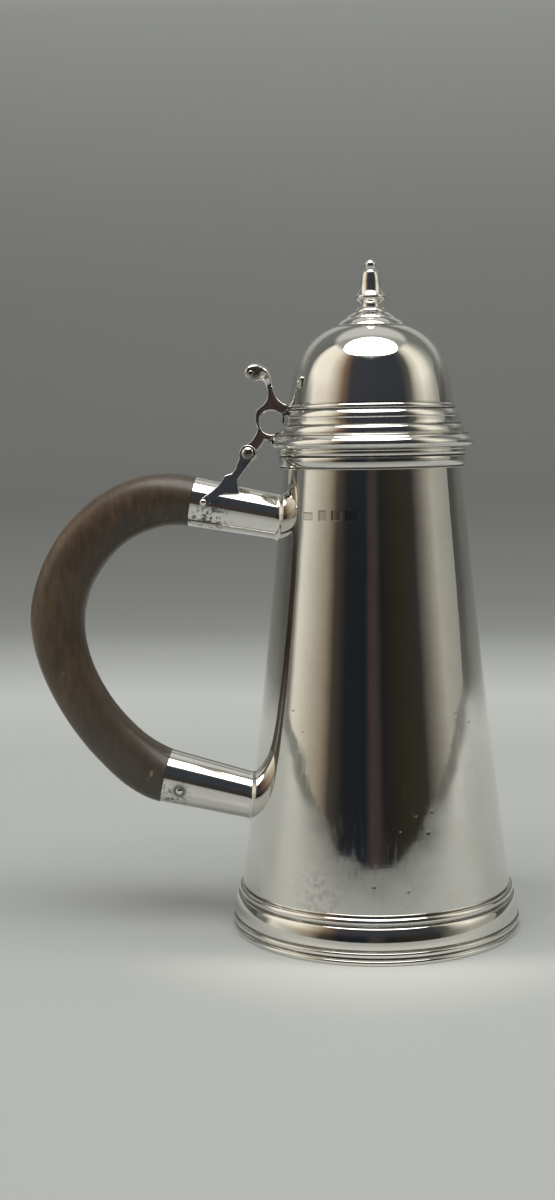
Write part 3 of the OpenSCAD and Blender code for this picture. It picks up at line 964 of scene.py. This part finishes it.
def makeFlange(material):
    z, lip, dome = lidZ, flangeSet["lip"], domeSet["radius"]
    outside = ([(lip, z), (lip, z + 0.3)] + bead((lip + 0.1, z + 0.4), (34.8, z + 3.6), 1.15, 18)
               + [(34.5, z + 4.1), (34.2, z + 4.8)] + bead((33.2, z + 5), (32.4, z + 7.5), 0.35)
               + [(31.9, z + 7.7), (31.6, z + 8.4), (31.4, z + 9.4), (31.3, z + 10.3)]
               + bead((31.2, z + 10.4), (30.1, z + 13), 0.45) + [(29.7, z + 13.2)]
               + bead((29.7, z + 13.4), (dome + 0.05, domeZ), 0.4))
    inside = [(dome - 0.9, domeZ), (dome - 0.9, z + 12.6), (30.1, z + 10), (30.5, z + 7.4), (31.9, z + 6.4),
              (32.5, z + 4.4), (34.4, z + 2.4), (34.4, z + 1), (29.2, z + 1), (29.2, z)]
    finishPiece("lid_moulding", spun(outside + inside), material, "lid", ["lid_flange"])


collarSet = {
    "wall": 0.9,
    "ease": 0.25,
}


def makeCollar(material):
    low, high = nodeBox("lid_bezel")
    outer, inner = high.x, high.x - collarSet["wall"]
    outline = [(inner, low.z), (outer, low.z), (outer, high.z), (inner, high.z)]
    bm = spun(outline, ease=collarSet["ease"])
    finishPiece("lid_collar", bm, material, "lid", ["lid_bezel"])


roseSet = {
    "radius": 12.3,
    "sink": 0.3,  # how far it reaches into the dome's wall
    "ease": 0.3,
}


def makeRose(material):
    r, hole = roseSet["radius"], domeSet["hole"]
    outside = [(r, roseZ), (r, roseZ + 0.5), (11.9, roseZ + 1.1), (11, roseZ + 2), (9.8, roseZ + 2.8),
               (8.8, roseZ + 3.3), (8.6, roseZ + 3.7), (7.4, roseZ + 4.5), (6.4, roseTop), (hole, roseTop)]
    under = [(x, z - roseSet["sink"]) for x, z in domeLine(0) if x < r]
    bm = spun(outside + under[::-1], ease=roseSet["ease"])
    finishPiece("crown_rose", bm, material, "lid", ["lid_rose"])


finialSet = {
    "tip": 2.1,
    "tipHeight": 16.5,
    "tipFrom": -36,  # degrees below level where the neck meets it
    "tipSteps": 16,
    "ease": 0.2,
}


def makeFinial(material):
    low, z, peg = nodeBox("finial")[0].z, roseTop, domeSet["hole"]
    outline = ([(0, low), (peg, low), (peg, z), (5.6, z)]
               + bead((5.4, z + 0.1), (4.4, z + 1.7), 0.35) + [(3.5, z + 1.9), (3.4, z + 2.4), (3.3, z + 3)]
               + [(3.9, z + 3.6), (4.8, z + 4.2)] + bead((4.9, z + 4.4), (4.9, z + 6.2), 0.55)
               + [(4.5, z + 6.9), (4.1, z + 7.6), (3.75, z + 8.9), (3.55, z + 10.7), (3.35, z + 12.4)]
               + [(2.9, z + 14.1), (2.1, z + 15), (1.7, z + 15.3)])
    tip, middle = finialSet["tip"], z + finialSet["tipHeight"]
    start, steps = finialSet["tipFrom"], finialSet["tipSteps"]
    for i in range(steps):
        turn = math.radians(start + (90 - start) * i / steps)
        outline.append((tip * math.cos(turn), middle + tip * math.sin(turn)))
    outline.append((0, middle + tip))
    bm = spun(outline, isClosed=False, steps=128, ease=finialSet["ease"])
    finishPiece("turned_finial", bm, material, "lid", ["finial"])


thumbSet = {
    # along its curve: x, z, half thickness, half width
    "stations": [(-36.3, 195.4, 1.2, 1.6), (-36.7, 197.2, 1.35, 1.75), (-37.4, 198.9, 1.9, 2.5),
                 (-38.7, 200.2, 2.6, 3.8), (-40.4, 200.9, 3.0, 5.1), (-42.1, 200.9, 3.0, 6.0),
                 (-43.6, 200.7, 2.3, 6.1), (-44.6, 200.6, 1.2, 5.6)],
    "around": 72,
    "rings": 48,
    "square": (3.4, 5),        # power of the oval's curve at the arm and at the far end
    "cleft": (1.3, 1.5, 0.5),  # between the lobes: how deep, how wide, how much thinner
    "cleftFrom": 0.35,
    "eye": (-42.6, 5.95, 200.4),
    "eyeRadius": 1.1,
    "eyeFlat": 0.35,
}


def thumbStation(t):
    # A smooth curve through the stations
    stations = [Vector(s) for s in thumbSet["stations"]]
    last = len(stations) - 1
    i, part = divmod(min(t * last, last - 1e-6), 1)
    a, b, c, d = (stations[max(0, min(last, int(i) + k))] for k in (-1, 0, 1, 2))
    square, cube = part ** 2, part ** 3
    return 0.5 * (2 * b + (c - a) * part + (2 * a - 5 * b + 4 * c - d) * square
                  + (3 * b - a - 3 * c + d) * cube)


def makeThumbpiece(material):
    rings = thumbSet["rings"]
    first, last = thumbSet["square"]
    depth, width, thinner = thumbSet["cleft"]
    start = thumbSet["cleftFrom"]

    def place(ring, turn):
        t = ring / (rings - 1)
        x, z, deep, wide = thumbStation(t)
        step = thumbStation(min(1, t + 0.02)) - thumbStation(max(0, t - 0.02))
        way = Vector((step[0], step[1])).normalized()
        power = 2 / (first + (last - first) * t)
        cosine, sine = (math.copysign(abs(c) ** power, c)
                        for c in (math.cos(turn * math.tau), math.sin(turn * math.tau)))
        side = wide * sine
        fold = math.exp(-(side / width) ** 2) * max(0, t - start) / (1 - start)
        across = deep * cosine * (1 - thinner * fold)
        back = depth * fold
        return Vector((x - way.y * across - way.x * back, side, z + way.x * across - way.y * back))

    bm = lofted(rings, thumbSet["around"], place)
    eyeX, eyeY, eyeZ = thumbSet["eye"]
    for y in (-eyeY, eyeY):
        eye = bmesh.ops.create_uvsphere(bm, u_segments=24, v_segments=12, radius=thumbSet["eyeRadius"])
        bmesh.ops.scale(bm, vec=(1, thumbSet["eyeFlat"], 1), verts=eye["verts"])
        bmesh.ops.translate(bm, vec=(eyeX, y, eyeZ), verts=eye["verts"])
    finishPiece("scroll_thumbpiece", bm, material, "lid", ["thumbpiece"], 60)


bpy.context.scene.view_settings.view_transform = "Standard"
makeCamera()
makeWorld()
makeStage()
makeLamps()
print("studio ready")

brightSilver = silver("bright silver", stainsAndShade=stainAndShadeSet["side"], isMarked=True)
footSilver = silver("foot silver", 0.5, shadedGrooves=(2.3, 4.75, 12.9, 15.9))
rimSilver = silver("rim silver", 0.5, shadedGrooves=(rimZ - 6.7, rimZ - 2.8))
socketSilver = silver("socket silver", 0.6, stainAndShadeSet["socket"])
castSilver = silver("cast silver", 0.5, stainAndShadeSet["cast"])
# the rivet's only patch is painted shade
rivetSilver = silver("rivet silver", 0.3, stainAndShadeSet["rivet"])
lidSilver = silver("lid silver", 0.7, shadedGrooves=(lidZ + 4.3, lidZ + 7.9, lidZ + 13.2, roseZ + 0.2))
fruitwood = wood("old fruitwood", [(-65, 0, 155), (-77, 0, 55)])
print("finishes ready")

makeSide(brightSilver)
makeFoot(footSilver)
makeRim(rimSilver)
makeSocket("upper_ferrule", socketSet["upper"], socketSilver, "upper_socket")
makeSocket("lower_ferrule", socketSet["lower"], socketSilver, "lower_socket")
print("vessel and sockets made")

makeHandle(fruitwood)
makePin("upper_pin", castSilver)
makePin("lower_pin", castSilver)
makePin("hinge_rivet", rivetSilver)
makeBracket(castSilver)
makeArm(castSilver)
print("handle and hinge made")

makeDome(lidSilver)
makeFlange(lidSilver)
makeCollar(lidSilver)
makeRose(lidSilver)
makeFinial(lidSilver)
makeThumbpiece(castSilver)
print("lid made")

for node in ("base_disc", "finial_washer"):  # plain turned discs that keep their CAD shape
    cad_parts[node].data.materials.clear()
    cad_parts[node].data.materials.append(brightSilver)
